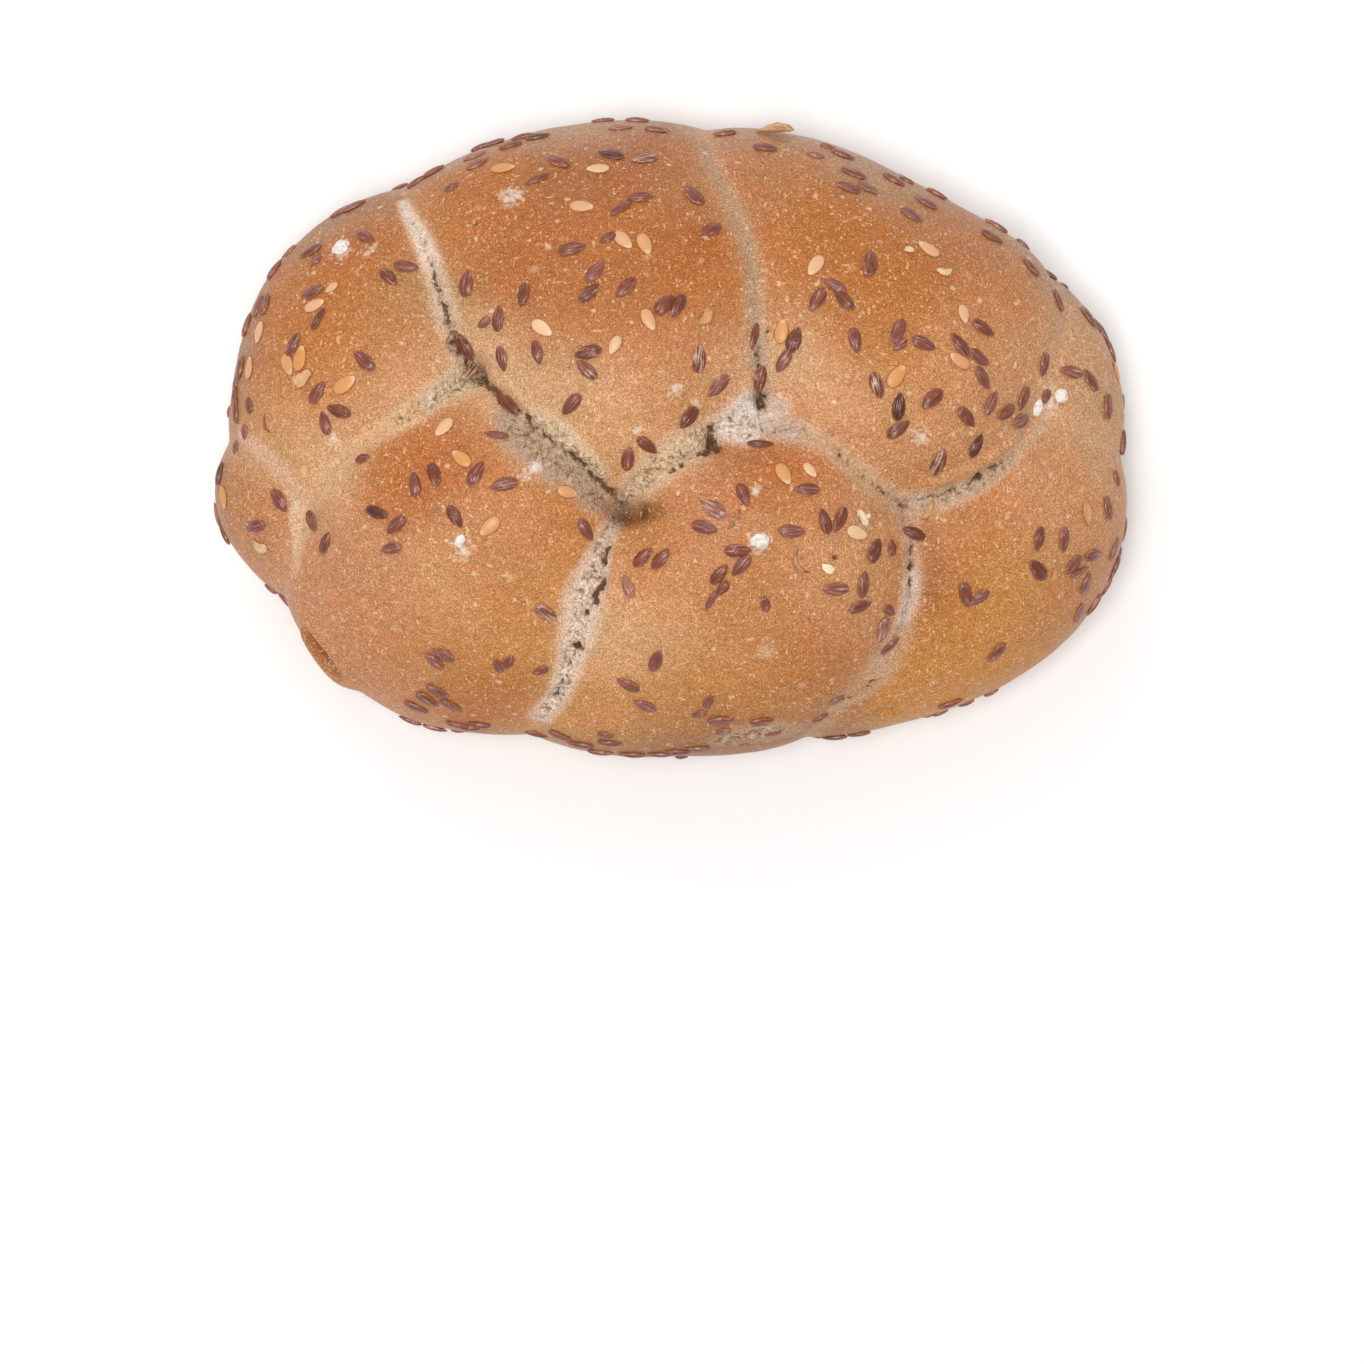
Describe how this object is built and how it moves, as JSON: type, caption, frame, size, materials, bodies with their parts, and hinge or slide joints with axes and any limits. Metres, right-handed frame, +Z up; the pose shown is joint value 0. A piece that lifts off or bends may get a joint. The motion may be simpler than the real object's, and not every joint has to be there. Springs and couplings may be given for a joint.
{
  "type": "braided roll",
  "caption": "Oval plaited bread roll with a golden crust, pressed seams between its fat turns of dough, and linseeds baked on to it.",
  "frame": {"origin": "on the surface that the roll rests on, under the middle of its bounding box", "axes": "+X along the roll, towards the end that its plait points to; +Y across it, towards its back; +Z up"},
  "size_m": [0.1602, 0.1118, 0.0573],
  "materials": {
    "crust": "satin",
    "brown_linseed": "satin",
    "golden_linseed": "satin",
    "flour": "matte"
  },
  "bodies": {
    "root": {"baked_roll": "crust", "golden_linseed_1": "golden_linseed", "golden_linseed_2": "golden_linseed", "golden_linseed_3": "golden_linseed", "golden_linseed_4": "golden_linseed", "golden_linseed_5": "golden_linseed", "golden_linseed_6": "golden_linseed", "golden_linseed_7": "golden_linseed", "golden_linseed_8": "golden_linseed", "golden_linseed_9": "golden_linseed", "golden_linseed_10": "golden_linseed", "golden_linseed_11": "golden_linseed", "golden_linseed_12": "golden_linseed", "golden_linseed_13": "golden_linseed", "golden_linseed_14": "golden_linseed", "golden_linseed_15": "golden_linseed", "golden_linseed_16": "golden_linseed", "golden_linseed_17": "golden_linseed", "golden_linseed_18": "golden_linseed", "golden_linseed_19": "golden_linseed", "golden_linseed_20": "golden_linseed", "golden_linseed_21": "golden_linseed", "golden_linseed_22": "golden_linseed", "golden_linseed_23": "golden_linseed", "golden_linseed_24": "golden_linseed", "golden_linseed_25": "golden_linseed", "golden_linseed_26": "golden_linseed", "golden_linseed_27": "golden_linseed", "golden_linseed_28": "golden_linseed", "golden_linseed_29": "golden_linseed", "flour_lump_1": "flour", "flour_lump_2": "flour", "flour_lump_3": "flour", "flour_lump_4": "flour", "flour_lump_5": "flour"}
  },
  "joints": []
}
